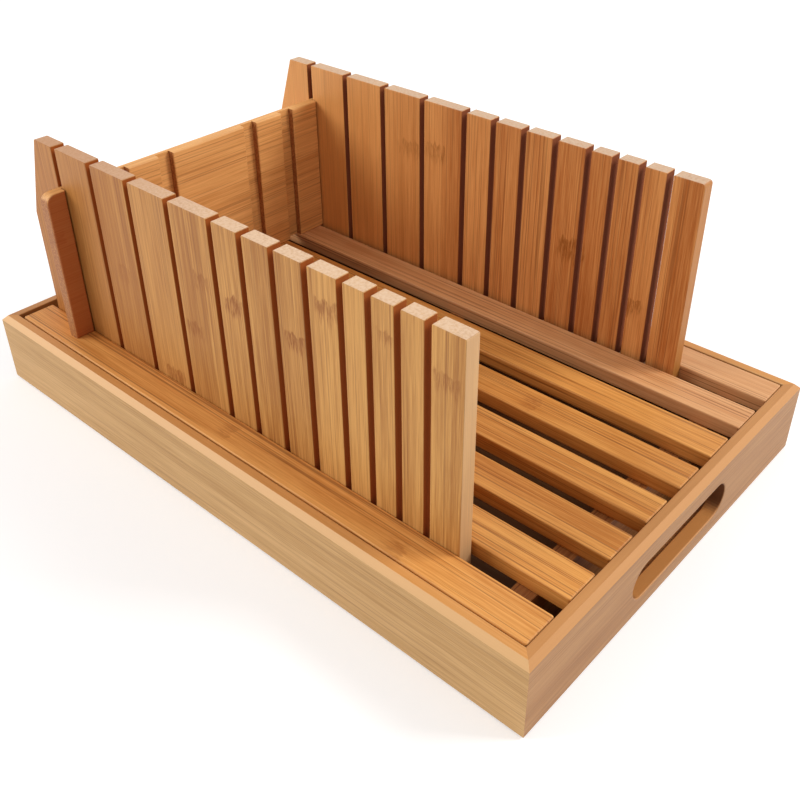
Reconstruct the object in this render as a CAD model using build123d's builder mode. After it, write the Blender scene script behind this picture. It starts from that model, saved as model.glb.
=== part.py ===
"""Bamboo bread slicing guide: two slotted side walls and a back stop standing in a
slatted rack, which lies in a crumb tray. Millimetres, +Z up.

X runs along the slats, from the back stop at -X to the open end at +X.
Y runs across, from the near wall at -Y to the far wall at +Y.
The origin is the middle of the tray's underside.
"""
from build123d import *
import os

os.makedirs("parts", exist_ok=True)

# Crumb tray
tray_length = 366.0
tray_width = 234.6
tray_height = 41.3
rail_thickness = 7.0
rim_chamfer = 2.7
inner_rim_round = 0.6
rail_foot_round = 1.0
floor_thickness = 4.0
floor_recess = 2.5
floor_tongue = 3.2
floor_side_play = 0.3
floor_face_play = 0.1

# Hand hole through each short rail
hand_hole_length = 82.0
hand_hole_height = 19.4
hand_hole_center = 19.0
hand_hole_round = 0.7

# Loose tongues that key the mitred corners
tongue_thickness = 2.0
tongue_width = 5.0
tongue_height = 24.0
tongue_lift = 9.5
tongue_from_inner_corner = 4.6
tongue_play = 0.1

# Slatted rack
slat_count = 8
slat_gap_over_wall = 2.5
slat_thickness = 8.0
slat_below_rim = 0.1
slat_corner_radius = 1.0
slat_edge_round = 0.8
rack_side_play = 0.9
rack_front_play = 0.4
rack_rear_play = 3.4

# Bearers under the slats, and the dowels that hold the two together
bearer_width = 10.0
bearer_inset = 20.0
bearer_edge_round = 0.6
dowel_diameter = 5.0
dowel_in_slat = 5.0
dowel_in_bearer = 8.0
dowel_bore_play = 0.1
dowel_end_play = 0.5

# Side walls
wall_thickness = 7.8
wall_side_play = 0.1
wall_height_above_slats = 104.8
wall_length = 295.5
wall_rear_inset = 5.8
wall_foot_height = 18.0
wall_slant_run = 15.0
wall_slant_drop = 44.6
near_front_corner_radius = 0.8
far_front_corner_radius = 2.0
wall_edge_round = 0.4
kerf_width = 3.5
kerf_below_slats = 5.5
kerf_corner_radius = 0.6
rear_tooth = 31.8
slice_pitches = [30.3] * 4 + [19.8] * 4 + [15.1] * 3
notch_play = 0.4

# Back stop
stop_thickness = 7.0
stop_height = 83.6
stop_overhang = 11.5
stop_web_play = 0.25
stop_groove_inner_play = 0.6
stop_groove_outer_play = 0.6
stop_end_radius = 5.0
stop_edge_round = 0.9

# Heights and places that follow from the sizes above
floor_top = floor_recess + floor_thickness
slat_top = tray_height - slat_below_rim
slat_bottom = slat_top - slat_thickness
inner_length = tray_length - 2 * rail_thickness
inner_width = tray_width - 2 * rail_thickness
rack_rear = -inner_length / 2 + rack_rear_play
rack_front = inner_length / 2 - rack_front_play
rack_length = rack_front - rack_rear
rack_middle = (rack_front + rack_rear) / 2
rack_width = inner_width - 2 * rack_side_play
slat_gap = wall_thickness + slat_gap_over_wall
slat_width = (rack_width - (slat_count - 1) * slat_gap) / slat_count
slat_pitch = slat_width + slat_gap
slat_rows = [(row - (slat_count - 1) / 2) * slat_pitch for row in range(slat_count)]
bearer_places = {
    "rear": rack_rear + bearer_inset,
    "middle": rack_middle,
    "front": rack_front - bearer_inset,
}

# The walls stand in the outermost gaps, each against the slat outside it
wall_outset = slat_gap / 2 - wall_side_play - wall_thickness / 2
wall_row = (slat_count / 2 - 1) * slat_pitch + wall_outset
wall_rear = rack_rear + wall_rear_inset
wall_front = wall_rear + wall_length
wall_top = slat_top + wall_height_above_slats
kerf_bottom = slat_top - kerf_below_slats
kerf_places = [wall_rear + rear_tooth]
for pitch in slice_pitches:
    kerf_places.append(kerf_places[-1] + pitch)

# The web of the back stop fills the first kerf, and its grooves clear the boards
stop_web = kerf_width - 2 * stop_web_play
stop_rear = kerf_places[0] - stop_web / 2
stop_groove_depth = stop_thickness - stop_web
stop_groove_width = wall_thickness + stop_groove_inner_play + stop_groove_outer_play
stop_groove_outset = wall_outset + (stop_groove_outer_play - stop_groove_inner_play) / 2
stop_length = 2 * (wall_row + wall_thickness / 2 + stop_overhang)
stop_groove_rows = [step * slat_pitch + stop_groove_outset for step in range(1, slat_count // 2)]


def save(piece, name):
    """Label a finished piece and write it under its own name."""
    piece.part.label = name
    export_step(piece.part, f"parts/{name}.step")


def make_rail(name, run, half_span, along, has_hand_hole):
    """One mitred side of the tray. `along` is its direction, with the outside on the right."""
    base = Plane(origin=(0, 0, 0), x_dir=along, z_dir=(0, 0, 1))
    outside = -half_span
    inside = outside + rail_thickness
    floor_half_run = run / 2 - rail_thickness + floor_tongue + floor_side_play
    tongue_offset = rail_thickness - tongue_from_inner_corner / 2**0.5
    with BuildPart() as rail:
        with BuildSketch(base):
            with BuildLine():
                Polyline(
                    (-run / 2, outside),
                    (run / 2, outside),
                    (run / 2 - rail_thickness, inside),
                    (-run / 2 + rail_thickness, inside),
                    close=True,
                )
            make_face()
        extrude(amount=tray_height)

        # Long edges: a wide bevel outside the rim, light rounding elsewhere
        rim_edges = rail.edges().group_by(Axis.Z)[-1].sort_by(SortBy.LENGTH)
        fillet(rim_edges[-2], inner_rim_round)
        foot_edges = rail.edges().group_by(Axis.Z)[0].sort_by(SortBy.LENGTH)
        fillet(foot_edges[-1], rail_foot_round)
        outer_rim = rail.edges().group_by(Axis.Z)[-1].sort_by(SortBy.LENGTH)[-1]
        chamfer(outer_rim, rim_chamfer)

        # Groove for the floor
        with BuildSketch(base.offset(floor_recess - floor_face_play)):
            with Locations((0, inside)):
                Rectangle(2 * floor_half_run, 2 * (floor_tongue + floor_side_play))
        extrude(amount=floor_thickness + 2 * floor_face_play, mode=Mode.SUBTRACT)

        # Half of the slot for the loose tongue at each mitre
        with BuildSketch(base.offset(tongue_lift - tongue_play)):
            for side in (-1, 1):
                with Locations((side * (run / 2 - tongue_offset), outside + tongue_offset)):
                    Rectangle(
                        tongue_width + 2 * tongue_play,
                        tongue_thickness + 2 * tongue_play,
                        rotation=side * 45,
                    )
        extrude(amount=tongue_height + 2 * tongue_play, mode=Mode.SUBTRACT)

        if has_hand_hole:
            outward = -base.y_dir
            hole_origin = base.from_local_coords((0, outside, hand_hole_center))
            with BuildSketch(Plane(origin=hole_origin, x_dir=along, z_dir=outward)):
                SlotOverall(hand_hole_length, hand_hole_height)
            extrude(amount=-rail_thickness, mode=Mode.SUBTRACT)
            lips = rail.edges(Select.LAST).filter_by(Axis((0, 0, 0), outward), reverse=True)
            fillet(lips, hand_hole_round)
    save(rail, name)


make_rail("tray_rail_near", tray_length, tray_width / 2, (1, 0, 0), False)
make_rail("tray_rail_far", tray_length, tray_width / 2, (-1, 0, 0), False)
make_rail("tray_rail_handle_end", tray_width, tray_length / 2, (0, 1, 0), True)
make_rail("tray_rail_stop_end", tray_width, tray_length / 2, (0, -1, 0), True)

# Floor of the tray, held in the rails' grooves all round
with BuildPart() as tray_floor:
    with BuildSketch(Plane.XY.offset(floor_recess)):
        Rectangle(inner_length + 2 * floor_tongue, inner_width + 2 * floor_tongue)
    extrude(amount=floor_thickness)
save(tray_floor, "tray_floor")

# One loose tongue in each corner
with BuildPart() as corner_tongues:
    with BuildSketch(Plane.XY.offset(tongue_lift)):
        tongue_inset = rail_thickness - tongue_from_inner_corner / 2**0.5
        for x_side in (-1, 1):
            for y_side in (-1, 1):
                tongue_x = x_side * (tray_length / 2 - tongue_inset)
                tongue_y = y_side * (tray_width / 2 - tongue_inset)
                with Locations((tongue_x, tongue_y)):
                    Rectangle(tongue_width, tongue_thickness, rotation=-45 * x_side * y_side)
    extrude(amount=tongue_height)
save(corner_tongues, "corner_tongues")

# Slats, bored from below for the dowels
for number, row in enumerate(slat_rows, start=1):
    with BuildPart() as slat:
        with BuildSketch(Plane.XY.offset(slat_bottom)):
            with Locations((rack_middle, row)):
                RectangleRounded(rack_length, slat_width, slat_corner_radius)
        extrude(amount=slat_thickness)
        long_edges = slat.edges().group_by(Axis.Z)
        fillet(long_edges[0] + long_edges[-1], slat_edge_round)
        with BuildSketch(Plane.XY.offset(slat_bottom)):
            with Locations(*[(place, row) for place in bearer_places.values()]):
                Circle(dowel_diameter / 2 + dowel_bore_play)
        extrude(amount=dowel_in_slat + dowel_end_play, mode=Mode.SUBTRACT)
    save(slat, f"slat_{number}")

# Bearers stand on the floor of the tray and carry the slats
for name, place in bearer_places.items():
    with BuildPart() as bearer:
        with BuildSketch(Plane.XY.offset(floor_top)):
            with Locations((place, 0)):
                Rectangle(bearer_width, rack_width)
        extrude(amount=slat_bottom - floor_top)
        fillet(bearer.edges().filter_by(Axis.Z), bearer_edge_round)
        with BuildSketch(Plane.XY.offset(slat_bottom)):
            with Locations(*[(place, row) for row in slat_rows]):
                Circle(dowel_diameter / 2 + dowel_bore_play)
        extrude(amount=-dowel_in_bearer - dowel_end_play, mode=Mode.SUBTRACT)
    save(bearer, f"bearer_{name}")

# Dowels, one where each slat crosses each bearer
with BuildPart() as rack_dowels:
    with BuildSketch(Plane.XY.offset(slat_bottom - dowel_in_bearer)):
        with Locations(*[(place, row) for place in bearer_places.values() for row in slat_rows]):
            Circle(dowel_diameter / 2)
    extrude(amount=dowel_in_bearer + dowel_in_slat)
save(rack_dowels, "rack_dowels")


def make_wall(name, row, front_corner_radius):
    """One side wall, with its kerfs open at the top and its notches over the bearers."""
    kerf_height = wall_top - kerf_bottom
    notch_height = slat_bottom - wall_foot_height
    with BuildPart() as wall:
        with BuildSketch(Plane.XZ.offset(-row - wall_thickness / 2)) as face:
            with BuildLine():
                Polyline(
                    (wall_rear, wall_foot_height),
                    (wall_front, wall_foot_height),
                    (wall_front, wall_top),
                    (wall_rear + wall_slant_run, wall_top),
                    (wall_rear, wall_top - wall_slant_drop),
                    close=True,
                )
            make_face()
            with Locations(*[(place, kerf_bottom + kerf_height / 2) for place in kerf_places]):
                Rectangle(kerf_width, kerf_height, mode=Mode.SUBTRACT)
            for place in bearer_places.values():
                with Locations((place, wall_foot_height + notch_height / 2)):
                    Rectangle(bearer_width + 2 * notch_play, notch_height, mode=Mode.SUBTRACT)

            # Front corner, tooth tips, kerf bottoms and the foot of the slant
            tips = face.vertices().group_by(Axis.Y)[-1].sort_by(Axis.X)
            fillet(tips[-1], front_corner_radius)
            tips = face.vertices().group_by(Axis.Y)[-1].sort_by(Axis.X)
            fillet(tips[:-1], kerf_corner_radius)
            roots = face.vertices().filter_by_position(Axis.Y, kerf_bottom - 0.01, kerf_bottom + 0.01)
            fillet(roots, kerf_corner_radius)
        extrude(amount=wall_thickness)

        # Both faces are eased all round
        outlines = wall.edges().group_by(Axis.Y)
        fillet(outlines[0] + outlines[-1], wall_edge_round)
    save(wall, name)


make_wall("near_wall", -wall_row, near_front_corner_radius)
make_wall("far_wall", wall_row, far_front_corner_radius)

# Back stop: a board across the walls, grooved on its front for every place the walls can stand
with BuildPart() as back_stop:
    with BuildSketch(Plane.YZ.offset(stop_rear)) as stop_face:
        with Locations((0, slat_top + stop_height / 2)):
            Rectangle(stop_length, stop_height)
        fillet(stop_face.vertices().group_by(Axis.Y)[-1], stop_end_radius)
    extrude(amount=stop_thickness)
    with BuildSketch(Plane.XY.offset(slat_top)):
        groove_x = stop_rear + stop_web + stop_groove_depth / 2
        with Locations(*[(groove_x, side * row) for side in (-1, 1) for row in stop_groove_rows]):
            Rectangle(stop_groove_depth, stop_groove_width)
    extrude(amount=stop_height, mode=Mode.SUBTRACT)
    stop_outlines = back_stop.edges().group_by(Axis.X)
    fillet(stop_outlines[0] + stop_outlines[-1], stop_edge_round)
save(back_stop, "back_stop")
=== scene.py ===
import bpy, math
from mathutils import Matrix, Vector

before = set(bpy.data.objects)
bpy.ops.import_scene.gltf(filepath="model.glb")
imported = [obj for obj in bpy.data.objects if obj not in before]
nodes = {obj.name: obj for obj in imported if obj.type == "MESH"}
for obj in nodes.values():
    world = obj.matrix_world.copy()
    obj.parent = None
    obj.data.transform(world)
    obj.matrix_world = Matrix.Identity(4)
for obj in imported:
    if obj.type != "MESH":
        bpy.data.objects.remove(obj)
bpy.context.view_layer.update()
scene = bpy.context.scene
print("frame loaded:", len(nodes), "nodes")


# Adds one node to a tree, sets its properties, and sets or links each named or numbered input.
def add(tree, kind, inputs=None, **settings):
    node = tree.nodes.new(kind)
    for key, value in settings.items():
        setattr(node, key, value)
    for key, value in (inputs or {}).items():
        if isinstance(value, bpy.types.NodeSocket):
            tree.links.new(value, node.inputs[key])
        else:
            node.inputs[key].default_value = value
    return node


# A maths node: operation of a, b and c, as one float.
def calc(tree, operation, a, b=0.0, c=0.0, clamp=False):
    return add(tree, "ShaderNodeMath", {0: a, 1: b, 2: c}, operation=operation, use_clamp=clamp).outputs[0]


# The first value times each of the others, as one float.
def product(tree, first, *others):
    for value in others:
        first = calc(tree, "MULTIPLY", first, value)
    return first


# A vector maths node: operation of a and b, as one vector.
def vectorCalc(tree, operation, a, b=(0, 0, 0)):
    return add(tree, "ShaderNodeVectorMath", {0: a, 1: b}, operation=operation).outputs[0]


# A place in metres times 1000, in millimetres.
def toMm(tree, place):
    return vectorCalc(tree, "MULTIPLY", place, (1000, 1000, 1000))


# The X, Y and Z of a vector, under those names.
def split(tree, vector):
    return add(tree, "ShaderNodeSeparateXYZ", {0: vector}).outputs


# Rises smoothly from 0 where value is at or below low to 1 where it is at or above high; low above high makes it fall.
def ramp(tree, value, low, high):
    limits = {"Value": value, "From Min": low, "From Max": high}
    return add(tree, "ShaderNodeMapRange", limits, interpolation_type="SMOOTHSTEP", clamp=True).outputs["Result"]


# Blends colour a into colour b by factor, which runs from 0 to 1.
def blendColor(tree, factor, a, b):
    node = add(tree, "ShaderNodeMix", data_type="RGBA")
    for index, value in ((0, factor), (6, a), (7, b)):  # the Mix node's factor and its two colour sockets
        if isinstance(value, bpy.types.NodeSocket):
            tree.links.new(value, node.inputs[index])
        else:
            node.inputs[index].default_value = value
    return node.outputs[2]


# A smooth noise of millimetres times stretch, so a small stretch draws the noise out along that axis.
def fibreNoise(tree, millimetres, stretch, detail, roughness=0.6):
    moved = vectorCalc(tree, "MULTIPLY", millimetres, stretch)
    inputs = {"Vector": moved, "Scale": 1.0, "Detail": detail, "Roughness": roughness}
    return add(tree, "ShaderNodeTexNoise", inputs).outputs["Fac"]


# The surface normal, turned from world into object space.
def objectNormal(tree):
    normal = add(tree, "ShaderNodeNewGeometry").outputs["True Normal"]
    turn = {"vector_type": "NORMAL", "convert_from": "WORLD", "convert_to": "OBJECT"}
    return add(tree, "ShaderNodeVectorTransform", {0: normal}, **turn).outputs[0]


# Starts a node group with the given sockets. Returns its tree, the values given to it and the results it puts out.
def startGroup(name, inputs, outputs):
    tree = bpy.data.node_groups.new(name, "ShaderNodeTree")
    for label, kind in inputs:
        tree.interface.new_socket(label, in_out="INPUT", socket_type="NodeSocket" + kind)
    for label, kind in outputs:
        tree.interface.new_socket(label, in_out="OUTPUT", socket_type="NodeSocket" + kind)
    return tree, tree.nodes.new("NodeGroupInput").outputs, tree.nodes.new("NodeGroupOutput").inputs


# Grain: each noise's stretch is its steps in a millimetre along, across and through, and its weight is its share of
# the tone. Other pairs are the low and high ends of a ramp.
grainShape = {
    "fine": {"stretch": (0.03, 1.25, 1.25), "detail": 3.0, "roughness": 0.7},
    "middle": {"stretch": (0.011, 0.5, 0.5), "detail": 2.0},
    "broad": {"stretch": (0.006, 0.11, 0.11), "detail": 1.0},
    "dark": {"stretch": (0.005, 1.1, 1.1), "detail": 1.0},
    "weights": {"fine": 3.2, "middle": 1.6, "broad": 1.1, "strip": 0.75},
    "darkFrom": (0.59, 0.65), "seamFrom": (0.485, 0.499), "seamStrength": 0.22,
    "seedStep": (173.0, 37.0, 91.0), "stripSeedStep": 3.7,
    "roughest": 0.58, "smoothest": 0.42, "lineDepth": 0.7,
}


# Bamboo grain. Place is in metres, with X along the fibres, Y across the face and Z through the board.
# Tone is the sum of fine fibres, broad streaks and one random step per glued strip; thin dark lines lie over it.
def makeGrainGroup(shape):
    tree, given, result = startGroup(
        "bambooGrain",
        [("Place", "Vector"), ("Seed", "Float"), ("Strip Width", "Float"), ("Strip Shift", "Float"),
         ("Contrast", "Float"), ("Line Strength", "Float"), ("Pale", "Color"), ("Warm", "Color"), ("Dark", "Color")],
        [("Color", "Color"), ("Roughness", "Float"), ("Height", "Float")],
    )
    inMm = toMm(tree, given["Place"])
    seedSteps = {axis: calc(tree, "MULTIPLY", given["Seed"], step) for axis, step in zip("XYZ", shape["seedStep"])}
    shifted = vectorCalc(tree, "ADD", inMm, add(tree, "ShaderNodeCombineXYZ", seedSteps).outputs[0])
    fine = fibreNoise(tree, shifted, **shape["fine"])
    middle = fibreNoise(tree, shifted, **shape["middle"])
    broad = fibreNoise(tree, shifted, **shape["broad"])
    darkLines = ramp(tree, fibreNoise(tree, shifted, **shape["dark"]), *shape["darkFrom"])

    stripsAcross = calc(tree, "DIVIDE", split(tree, inMm)["Y"], calc(tree, "MULTIPLY", given["Strip Width"], 1000.0))
    stripPlace = calc(tree, "ADD", stripsAcross, given["Strip Shift"])
    stripSeed = calc(tree, "MULTIPLY", given["Seed"], shape["stripSeedStep"])
    stripNumber = calc(tree, "ADD", calc(tree, "FLOOR", stripPlace), stripSeed)
    stripTone = add(tree, "ShaderNodeTexWhiteNoise", {"W": stripNumber}, noise_dimensions="1D").outputs["Value"]
    fromMiddle = calc(tree, "ABSOLUTE", calc(tree, "SUBTRACT", calc(tree, "FRACT", stripPlace), 0.5))
    seam = ramp(tree, fromMiddle, *shape["seamFrom"])

    tone = 0.0
    for key, part in {"fine": fine, "middle": middle, "broad": broad, "strip": stripTone}.items():
        weighted = calc(tree, "MULTIPLY", calc(tree, "SUBTRACT", part, 0.5), shape["weights"][key])
        tone = calc(tree, "ADD", tone, weighted)
    tone = calc(tree, "MULTIPLY_ADD", tone, given["Contrast"], 0.5, clamp=True)
    grainColor = blendColor(tree, tone, given["Warm"], given["Pale"])
    lines = calc(tree, "MULTIPLY", darkLines, given["Line Strength"])
    lines = calc(tree, "MAXIMUM", lines, calc(tree, "MULTIPLY", seam, shape["seamStrength"]))
    roughSpan = shape["roughest"] - shape["smoothest"]
    tree.links.new(blendColor(tree, lines, grainColor, given["Dark"]), result["Color"])
    tree.links.new(calc(tree, "MULTIPLY_ADD", fine, roughSpan, shape["smoothest"]), result["Roughness"])
    tree.links.new(calc(tree, "SUBTRACT", fine, calc(tree, "MULTIPLY", lines, shape["lineDepth"])), result["Height"])
    return tree


# Knot: pairs are the low and high ends of a ramp, in half sizes from the knot's centre
knotShape = {
    "wave": {"stretch": (0.09, 0.3, 0.3), "detail": 2.0},
    "lengths": {"stretch": (0.03, 0.8, 0.8), "detail": 1.0},
    "strokes": {"stretch": (0.16, 1.4, 1.4), "detail": 3.0, "roughness": 0.7},
    "top": (0.5, 0.3), "topWave": 1.6, "end": (0.1, 0.9), "lengthSpread": 2.6,
    "side": (1.0, 0.5), "sideWave": 1.2, "depth": (1.0, 0.9), "strokeFrom": (0.4, 0.58), "strokeStrength": 0.8,
}


# Bamboo knot: away is the distance from Centre in half sizes, X along the fibres. The mask is 1 below a crisp wavy
# top edge, runs down each fibre to that fibre's own length, fades at both sides and is broken up into strokes.
def makeKnotGroup(shape):
    tree, given, result = startGroup(
        "bambooKnot",
        [("Place", "Vector"), ("Centre", "Vector"), ("Half Size", "Vector"), ("Strength", "Float")],
        [("Mask", "Float")],
    )
    fromCentre = vectorCalc(tree, "SUBTRACT", given["Place"], given["Centre"])
    away = split(tree, vectorCalc(tree, "DIVIDE", fromCentre, given["Half Size"]))
    inMm = toMm(tree, given["Place"])
    wave = calc(tree, "SUBTRACT", fibreNoise(tree, inMm, **shape["wave"]), 0.5)
    lengths = fibreNoise(tree, inMm, **shape["lengths"])
    strokes = ramp(tree, fibreNoise(tree, inMm, **shape["strokes"]), *shape["strokeFrom"])
    belowTop = ramp(tree, calc(tree, "MULTIPLY_ADD", wave, shape["topWave"], away["X"]), *shape["top"])
    aboveEnd = ramp(tree, calc(tree, "MULTIPLY_ADD", lengths, shape["lengthSpread"], away["X"]), *shape["end"])
    sideways = calc(tree, "MULTIPLY_ADD", wave, shape["sideWave"], calc(tree, "ABSOLUTE", away["Y"]))
    deep = ramp(tree, calc(tree, "ABSOLUTE", away["Z"]), *shape["depth"])
    broken = calc(tree, "MULTIPLY_ADD", strokes, shape["strokeStrength"], 1 - shape["strokeStrength"])
    mask = product(tree, belowTop, aboveEnd, ramp(tree, sideways, *shape["side"]), deep, broken, given["Strength"])
    tree.links.new(mask, result["Mask"])
    return tree


# End grain: facing is how nearly the surface looks along the fibres, as a pair of ramp ends
endShape = {
    "dots": {"stretch": (0.8, 0.8, 0.8), "detail": 2.0},
    "dotFrom": (0.3, 0.8), "dotStrength": 0.45, "facing": (0.75, 0.95),
}


# End grain: where the surface looks along the fibres, the end colour with fine dots of the side colour.
def makeEndGroup(shape):
    tree, given, result = startGroup(
        "endGrain",
        [("Place", "Vector"), ("Along", "Vector"), ("Side Color", "Color"), ("End Color", "Color")],
        [("Color", "Color")],
    )
    alongFibres = {0: objectNormal(tree), 1: given["Along"]}
    facing = add(tree, "ShaderNodeVectorMath", alongFibres, operation="DOT_PRODUCT").outputs["Value"]
    dots = ramp(tree, fibreNoise(tree, toMm(tree, given["Place"]), **shape["dots"]), *shape["dotFrom"])
    dots = calc(tree, "MULTIPLY", dots, shape["dotStrength"])
    dotted = blendColor(tree, dots, given["End Color"], given["Side Color"])
    atEnd = ramp(tree, calc(tree, "ABSOLUTE", facing), *shape["facing"])
    tree.links.new(blendColor(tree, atEnd, given["Side Color"], dotted), result["Color"])
    return tree


grainTree = makeGrainGroup(grainShape)
knotTree = makeKnotGroup(knotShape)
endTree = makeEndGroup(endShape)
print("node groups ready")


# A screen colour from 0 to 255 as linear light: each part c becomes ((c + 0.055) / 1.055) to the power 2.4.
def color(red, green, blue):
    shares = [part / 255 for part in (red, green, blue)]
    return tuple([((c + 0.055) / 1.055) ** 2.4 if c > 0.04 else c / 12.92 for c in shares] + [1.0])


woodFinish = {"shine": 0.35, "bumpStrength": 0.25, "bumpDepth": 0.00012, "knotDepth": 0.02}


# A bamboo material. look["axes"] names the object axes along, across and through the fibres. Each knot is its place,
# half its width, half its length and its strength. extra may blend in more colours and return a matte mask.
# The Principled node stays here; the groups feed its colour, roughness and bump.
def makeBamboo(name, look, extra=None):
    material = bpy.data.materials.new(name)
    material.use_nodes = True
    tree = material.node_tree
    shader = tree.nodes["Principled BSDF"]
    place = add(tree, "ShaderNodeTexCoord").outputs["Object"]
    axes = split(tree, place)
    turned = {index: axes[axis] for index, axis in enumerate(look["axes"])}
    turned = add(tree, "ShaderNodeCombineXYZ", turned).outputs[0]
    grain = add(tree, "ShaderNodeGroup", node_tree=grainTree)
    tree.links.new(turned, grain.inputs["Place"])
    for socket, key in (
        ("Seed", "seed"), ("Strip Width", "strip"), ("Strip Shift", "stripShift"), ("Contrast", "contrast"),
        ("Line Strength", "lines"), ("Pale", "pale"), ("Warm", "warm"), ("Dark", "dark"),
    ):
        grain.inputs[socket].default_value = look[key]
    finished = grain.outputs["Color"]
    for x, y, z, halfWidth, halfLength, strength in look.get("knots", ()):
        centre = {"X": x, "Y": y, "Z": z}
        knot = add(tree, "ShaderNodeGroup", node_tree=knotTree)
        tree.links.new(turned, knot.inputs["Place"])
        knot.inputs["Centre"].default_value = [centre[axis] for axis in look["axes"]]
        knot.inputs["Half Size"].default_value = (halfLength, halfWidth, woodFinish["knotDepth"])
        knot.inputs["Strength"].default_value = strength
        finished = blendColor(tree, knot.outputs["Mask"], finished, look.get("knotColor", look["dark"]))
    if "endColor" in look:
        ends = add(tree, "ShaderNodeGroup", node_tree=endTree)
        tree.links.new(place, ends.inputs["Place"])
        ends.inputs["Along"].default_value = [float(axis == look["axes"][0]) for axis in "XYZ"]
        ends.inputs["End Color"].default_value = look["endColor"]
        tree.links.new(finished, ends.inputs["Side Color"])
        finished = ends.outputs["Color"]
    roughness = grain.outputs["Roughness"]
    if extra:
        finished, matte = extra(tree, axes, finished, look)
        if matte:
            roughness = calc(tree, "MAXIMUM", roughness, matte)
    bump = {"Strength": woodFinish["bumpStrength"], "Distance": woodFinish["bumpDepth"]}
    bump = add(tree, "ShaderNodeBump", {"Height": grain.outputs["Height"], **bump}).outputs[0]
    shader.inputs["Specular IOR Level"].default_value = woodFinish["shine"]
    tree.links.new(finished, shader.inputs["Base Color"])
    tree.links.new(roughness, shader.inputs["Roughness"])
    tree.links.new(bump, shader.inputs["Normal"])
    return material


# Puts one material on a CAD node.
def dress(name, material):
    piece = nodes[name]
    piece.data.materials.clear()
    piece.data.materials.append(material)


# Rail: where the normal leans up by 30 to 60 degrees the outer bevel gets a paler colour, a painted highlight, and the
# rim on top has its own colour.
def paleBevel(tree, axes, finished, look):
    normal = split(tree, objectNormal(tree))
    bevelHighlight = product(tree, ramp(tree, normal["Z"], 0.45, 0.6), ramp(tree, normal["Z"], 0.95, 0.8), look["bevelHighlightBlend"])
    rim = product(tree, ramp(tree, normal["Z"], 0.9, 0.97), look["rimBlend"])
    finished = blendColor(tree, rim, finished, look["rimColor"])
    finished = blendColor(tree, bevelHighlight, finished, look["bevelHighlightColor"])
    return handHoleShade(tree, axes, normal, finished, look["hole"]) if "hole" in look else (finished, None)


# Inside the hand hole, where the normal is square to X: warm on its long faces, and dark and matte on its end faces,
# painted shade for the shade at the hole's ends. The mask is the product of one ramp for each side of the hole's box.
def handHoleShade(tree, axes, normal, finished, hole):
    across, height = calc(tree, "ABSOLUTE", axes["Y"]), axes["Z"]
    squareToX = ramp(tree, calc(tree, "ABSOLUTE", normal["X"]), *hole["squareToX"])
    inside = product(tree, ramp(tree, across, *hole["side"]), ramp(tree, height, *hole["top"]), squareToX)
    inside = product(tree, inside, ramp(tree, height, *hole["bottom"]))
    ends = product(tree, inside, ramp(tree, calc(tree, "ABSOLUTE", normal["Y"]), *hole["endFacing"]))
    finished = blendColor(tree, calc(tree, "MULTIPLY", inside, hole["blend"]), finished, hole["color"])
    return blendColor(tree, calc(tree, "MULTIPLY", ends, hole["endBlend"]), finished, hole["endColor"]), ends


# Hand hole: the box it fills, each side a pair of metres over which the shade fades in
handHole = {
    "side": (0.0418, 0.041), "top": (0.0302, 0.029), "bottom": (0.0085, 0.0092),
    "squareToX": (0.8, 0.4), "endFacing": (0.25, 0.85),
    # The end colour is painted shade.
    "color": color(196, 128, 62), "blend": 0.6, "endColor": color(84, 42, 20), "endBlend": 0.85,
}
nearRail = {
    "axes": "XZY", "seed": 1.0, "strip": 0.0195, "stripShift": 0.0, "contrast": 0.62, "lines": 0.3,
    "pale": color(217, 174, 119), "warm": color(184, 139, 82), "dark": color(132, 88, 46),
    # The bevel colour is a painted highlight.
    "bevelHighlightColor": color(231, 180, 122), "bevelHighlightBlend": 0.88, "rimColor": color(217, 144, 70), "rimBlend": 0.7,
}
farRail = dict(nearRail, seed=2.0)
handleRail = dict(
    nearRail, axes="YZX", seed=3.0, pale=color(186, 138, 89), warm=color(154, 102, 56),
    # Its bevel colour is a painted highlight as well.
    bevelHighlightColor=color(208, 146, 84), rimColor=color(204, 141, 80), hole=handHole,
)
stopRail = dict(handleRail, seed=4.0)
for name, look in (
    ("tray_rail_near", nearRail), ("tray_rail_far", farRail),
    ("tray_rail_handle_end", handleRail), ("tray_rail_stop_end", stopRail),
):
    dress(name, makeBamboo(name + "Bamboo", look, paleBevel))


# Painted shade: faces that look along one axis blend to the shade's colour, by its amount times a ramp of that part of
# the normal. With a reach the painted shade ends there, in metres from the middle of the tray along X.
def paintShadeOnFaces(tree, axes, finished, look):
    shade = look["shade"]
    facing = split(tree, objectNormal(tree))[shade["axis"]]
    if shade["bothWays"]:
        facing = calc(tree, "ABSOLUTE", facing)
    mask = product(tree, ramp(tree, facing, *shade["facing"]), shade["amount"])
    if "reach" in shade:
        mask = product(tree, mask, ramp(tree, calc(tree, "ABSOLUTE", axes["X"]), *shade["reach"]))
    return blendColor(tree, mask, finished, shade["color"]), None


# Tray floor: painted shade darkens its upward faces, for the shade under the slats, and ends near the short rails.
trayFloor = {
    "axes": "XYZ", "seed": 5.0, "strip": 0.02, "stripShift": 0.3, "contrast": 0.6, "lines": 0.3,
    "pale": color(196, 140, 82), "warm": color(160, 100, 50), "dark": color(104, 58, 26),
    "shade": {
        "axis": "Z", "bothWays": False, "facing": (0.3, 0.7), "amount": 0.75, "color": color(70, 36, 18),
        "reach": (0.172, 0.169),
    },
}
floorBamboo = makeBamboo("trayFloorBamboo", trayFloor, paintShadeOnFaces)
dress("tray_floor", floorBamboo)
dress("corner_tongues", floorBamboo)
print("tray dressed")

# Slats: a little painted shade darkens the side faces, for the shade in the gaps between slats.
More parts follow.
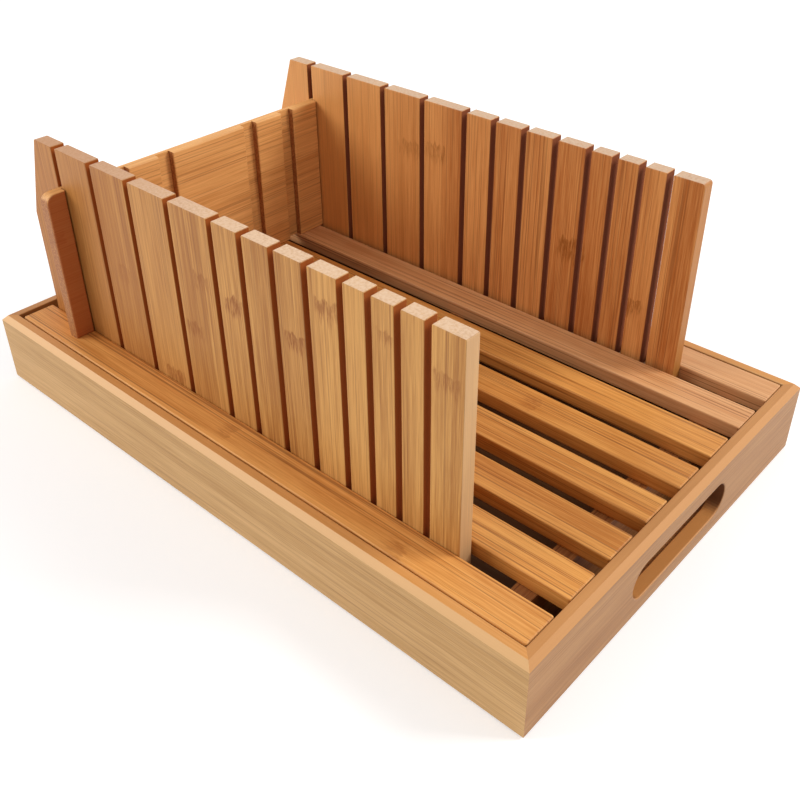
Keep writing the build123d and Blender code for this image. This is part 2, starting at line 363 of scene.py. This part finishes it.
slatLook = {
    "axes": "XYZ", "strip": 0.0062, "contrast": 0.62, "lines": 0.55,
    "pale": color(236, 168, 88), "warm": color(190, 116, 45), "dark": color(120, 58, 18),
    "knotColor": color(150, 76, 24), "endColor": color(206, 150, 92),
    "shade": {"axis": "Y", "bothWays": True, "facing": (0.6, 0.85), "amount": 0.12, "color": color(130, 66, 20)},
}
slatTones = {
    # Slat 1 has paler colours: painted light that lifts the shade the near wall casts on it.
    1: {
        "pale": color(240, 174, 97), "warm": color(200, 128, 57),
        "knots": ((0.108, -0.104, 0.0412, 0.007, 0.008, 0.4), (-0.005, -0.1, 0.0412, 0.006, 0.006, 0.4)),
    },
    2: {"knots": ((0.02, -0.072, 0.0412, 0.007, 0.006, 0.5),)},
    5: {"knots": ((0.09, 0.013, 0.0412, 0.007, 0.006, 0.5),)},
    7: {"pale": color(232, 176, 122), "warm": color(202, 138, 84)},
    8: {"pale": color(230, 176, 124), "warm": color(204, 142, 90)},
}
slatCount, firstSlatSeed, slatShiftStep = 8, 10.0, 0.13
for number in range(1, slatCount + 1):
    own = {"seed": firstSlatSeed + number, "stripShift": slatShiftStep * number, **slatTones.get(number, {})}
    dress(f"slat_{number}", makeBamboo(f"slatBamboo{number}", {**slatLook, **own}, paintShadeOnFaces))

# Bearers: darker colours than the slats, painted shade for the shade they lie in under the slats.
bearerLook = dict(
    slatLook, axes="YZX", seed=21.0, stripShift=0.4,
    pale=color(176, 118, 66), warm=color(140, 84, 40), dark=color(92, 48, 20),
)
bearerBamboo = makeBamboo("bearerBamboo", bearerLook)
for name in ("bearer_rear", "bearer_middle", "bearer_front"):
    dress(name, bearerBamboo)
dowelLook = dict(bearerLook, axes="ZXY", seed=22.0, pale=color(206, 170, 122), warm=color(184, 142, 92))
dress("rack_dowels", makeBamboo("dowelWood", dowelLook))
print("rack dressed")


# Wall: towards the rear the tone drifts to a rear colour, by an amount (on the tops by an amount of their own) times a
# smooth step along X: painted shade on the near wall, painted light on the far wall. The sawn sides of the kerfs, which
# look along X between the two ends, get dark red-brown painted shade and are matte. The front end face blends to a
# front colour: painted light on the near wall, a darker colour on the far wall.
def paintWallLightAndShade(tree, axes, finished, look):
    along = axes["X"]
    normal = split(tree, objectNormal(tree))
    onTop = ramp(tree, normal["Z"], 0.5, 0.9)
    amount = calc(tree, "MULTIPLY_ADD", onTop, look["rearShadingTops"] - look["rearShading"], look["rearShading"])
    rearward = product(tree, ramp(tree, along, *look["rearShadingFrom"]), amount)
    finished = blendColor(tree, rearward, finished, look["rearShadingColor"])
    sideways = calc(tree, "ABSOLUTE", normal["X"])
    frontEnd = product(tree, ramp(tree, sideways, 0.5, 0.8), ramp(tree, along, *look["frontFrom"]), look["frontBlend"])
    finished = blendColor(tree, frontEnd, finished, look["frontColor"])
    inside = product(tree, ramp(tree, along, *look["kerfsFrom"]), ramp(tree, along, *look["kerfsTo"]))
    kerfShade = product(tree, ramp(tree, sideways, 0.85, 0.97), inside)
    return blendColor(tree, product(tree, kerfShade, look["kerfShadeBlend"]), finished, look["kerfShadeColor"]), kerfShade


# Walls: pairs are places along X, in metres, between which an effect comes in
nearWall = {
    "axes": "ZXY", "seed": 31.0, "strip": 0.0182, "stripShift": 0.25, "contrast": 0.7, "lines": 0.38,
    "pale": color(214, 158, 88), "warm": color(168, 110, 50), "dark": color(112, 58, 22),
    "knotColor": color(142, 78, 22), "endColor": color(229, 194, 160),
    # The front colour is painted light, the kerf colour painted shade and the rear colour painted shade.
    "frontColor": color(218, 178, 132), "frontBlend": 0.6, "frontFrom": (0.127, 0.128),
    "kerfShadeColor": color(160, 80, 22), "kerfShadeBlend": 0.95, "kerfsFrom": (-0.149, -0.147), "kerfsTo": (0.125, 0.123),
    "rearShadingColor": color(166, 98, 36), "rearShading": 0.45, "rearShadingTops": 0.6, "rearShadingFrom": (0.03, -0.14),
    "knots": (
        (-0.0344, -0.091, 0.0834, 0.0075, 0.0055, 1.0), (-0.025, -0.091, 0.1123, 0.008, 0.007, 0.6),
        (-0.0032, -0.091, 0.109, 0.0085, 0.007, 0.9), (0.0373, -0.091, 0.107, 0.0085, 0.0065, 0.85),
        (0.0575, -0.091, 0.1308, 0.0085, 0.007, 0.75), (-0.058, -0.091, 0.0459, 0.009, 0.006, 0.8),
        (0.1194, -0.091, 0.1249, 0.009, 0.006, 0.6), (0.09, -0.091, 0.1313, 0.006, 0.005, 0.6),
        (-0.088, -0.091, 0.0933, 0.007, 0.007, 0.45),
    ),
}
dress("near_wall", makeBamboo("nearWallBamboo", nearWall, paintWallLightAndShade))
farWall = dict(
    nearWall, seed=32.0, stripShift=0.6, contrast=0.62, lines=0.4,
    pale=color(222, 154, 88), warm=color(174, 100, 44), endColor=color(210, 179, 149),
    # Here the rear colour is painted light, and the kerf colour painted shade.
    frontColor=color(172, 114, 48), kerfShadeColor=color(134, 70, 38),
    rearShadingColor=color(232, 168, 94), rearShading=0.6, rearShadingTops=0.1, rearShadingFrom=(0.03, -0.15),
    knots=(
        (-0.0534, 0.083, 0.1162, 0.009, 0.007, 0.8), (-0.0337, 0.083, 0.1191, 0.009, 0.0075, 0.8),
        (0.0599, 0.083, 0.0896, 0.01, 0.009, 0.9), (0.1, 0.083, 0.0713, 0.008, 0.007, 0.7),
    ),
)
dress("far_wall", makeBamboo("farWallBamboo", farWall, paintWallLightAndShade))


# Stop: the front faces of the tabs, the ends that stand out past the walls, blend to the tab colour by the tab blend:
# painted shade of the walls beside them, with some of the tabs' own darker grain.
def shadedTabs(tree, axes, finished, look):
    beyond = ramp(tree, calc(tree, "ABSOLUTE", axes["Y"]), *look["tabFrom"])
    facing = ramp(tree, split(tree, objectNormal(tree))["X"], 0.3, 0.9)
    return blendColor(tree, product(tree, beyond, facing, look["tabShadeBlend"]), finished, look["tabShadeColor"]), None


backStop = {
    "axes": "YZX", "seed": 41.0, "strip": 0.019, "stripShift": 0.1, "contrast": 0.6, "lines": 0.3,
    "pale": color(240, 178, 108), "warm": color(206, 140, 74), "dark": color(124, 66, 30),
    # The tab colour is painted shade, with some of the tabs' darker grain.
    "endColor": color(152, 92, 50), "tabShadeColor": color(156, 64, 13), "tabShadeBlend": 0.8, "tabFrom": (0.0905, 0.0915),
    "knots": ((-0.13, -0.1, 0.1013, 0.006, 0.006, 0.4),),
}
dress("back_stop", makeBamboo("backStopBamboo", backStop, shadedTabs))
print("walls and stop dressed")


# 1 for rays that the camera sees, straight, mirrored or through glass, and 0 for the rest: the largest of the three.
def seenByCamera(tree):
    rays = add(tree, "ShaderNodeLightPath").outputs
    seen = calc(tree, "MAXIMUM", rays["Is Camera Ray"], rays["Is Glossy Ray"])
    return calc(tree, "MAXIMUM", seen, rays["Is Transmission Ray"])


# Stage: a floor that the camera sees as white except where the object shades it, under a world it sees as white
stage = {"halfSize": 6.0, "height": -0.0004, "color": (0.86, 0.86, 0.86, 1), "roughness": 0.9, "glow": 0.3, "sky": 0.55}
white = (1, 1, 1, 1)
reach = stage["halfSize"]
corners = [(x * reach, y * reach, stage["height"]) for x, y in ((-1, -1), (1, -1), (1, 1), (-1, 1))]
floorMesh = bpy.data.meshes.new("floor")
floorMesh.from_pydata(corners, [], [(0, 1, 2, 3)])
floor = bpy.data.objects.new("floor", floorMesh)
scene.collection.objects.link(floor)
floorLook = bpy.data.materials.new("floorLook")
floorLook.use_nodes = True
floorTree = floorLook.node_tree
paper = floorTree.nodes["Principled BSDF"]
paper.inputs["Base Color"].default_value = stage["color"]
paper.inputs["Roughness"].default_value = stage["roughness"]
paper.inputs["Specular IOR Level"].default_value = 0.0
paper.inputs["Emission Color"].default_value = white
glow = calc(floorTree, "MULTIPLY", seenByCamera(floorTree), stage["glow"])
floorTree.links.new(glow, paper.inputs["Emission Strength"])
floor.data.materials.append(floorLook)

world = bpy.data.worlds.new("studio")
scene.world = world
world.use_nodes = True
worldTree = world.node_tree
sky = worldTree.nodes["Background"]
sky.inputs["Color"].default_value = white
skyStrength = calc(worldTree, "MULTIPLY_ADD", seenByCamera(worldTree), 1 - stage["sky"], stage["sky"])
worldTree.links.new(skyStrength, sky.inputs["Strength"])


# A square soft box of the given size in metres and power in watts, at place and facing aim.
def softBox(name, place, aim, size, power):
    data = bpy.data.lights.new(name, "AREA")
    data.shape = "SQUARE"
    data.size = size
    data.energy = power
    light = bpy.data.objects.new(name, data)
    light.location = place
    light.rotation_euler = (Vector(aim) - Vector(place)).to_track_quat("-Z", "Y").to_euler()
    scene.collection.objects.link(light)


lamps = {
    "rightBox": {"place": (1.25, 1.0, 1.25), "aim": (0, 0, 0.06), "size": 0.7, "power": 23},
    "leftBox": {"place": (-1.2, -1.15, 0.9), "aim": (0, 0, 0.06), "size": 0.9, "power": 17},
}
for name, lamp in lamps.items():
    softBox(name, **lamp)
print("stage and lights ready")

# Camera: place in metres, turns in radians, focal length and image centre in pixels, solved from the photo's corners
view = {
    "place": (0.30612, -0.31883, 0.33398), "yaw": 2.28897, "pitch": -0.58581, "roll": 0.00213,
    "focal": 988.81, "centre": (419.88, 348.36), "picture": 800, "sensor": 36, "clip": (0.01, 50),
}
lens = bpy.data.cameras.new("camera")
eye = bpy.data.objects.new("camera", lens)
scene.collection.objects.link(eye)
scene.camera = eye
level = math.cos(view["pitch"])
forward = Vector((math.cos(view["yaw"]) * level, math.sin(view["yaw"]) * level, math.sin(view["pitch"])))
side = Vector((math.sin(view["yaw"]), -math.cos(view["yaw"]), 0))
rise = side.cross(forward)
cosRoll, sinRoll = math.cos(view["roll"]), math.sin(view["roll"])
side, rise = side * cosRoll + rise * sinRoll, rise * cosRoll - side * sinRoll
eye.matrix_world = Matrix.Translation(view["place"]) @ Matrix((side, rise, -forward)).transposed().to_4x4()
half = view["picture"] / 2
lens.sensor_width = view["sensor"]
lens.lens = view["focal"] * view["sensor"] / view["picture"]
lens.shift_x = (half - view["centre"][0]) / view["picture"]
lens.shift_y = (view["centre"][1] - half) / view["picture"]
lens.clip_start, lens.clip_end = view["clip"]

scene.view_settings.view_transform = "Standard"
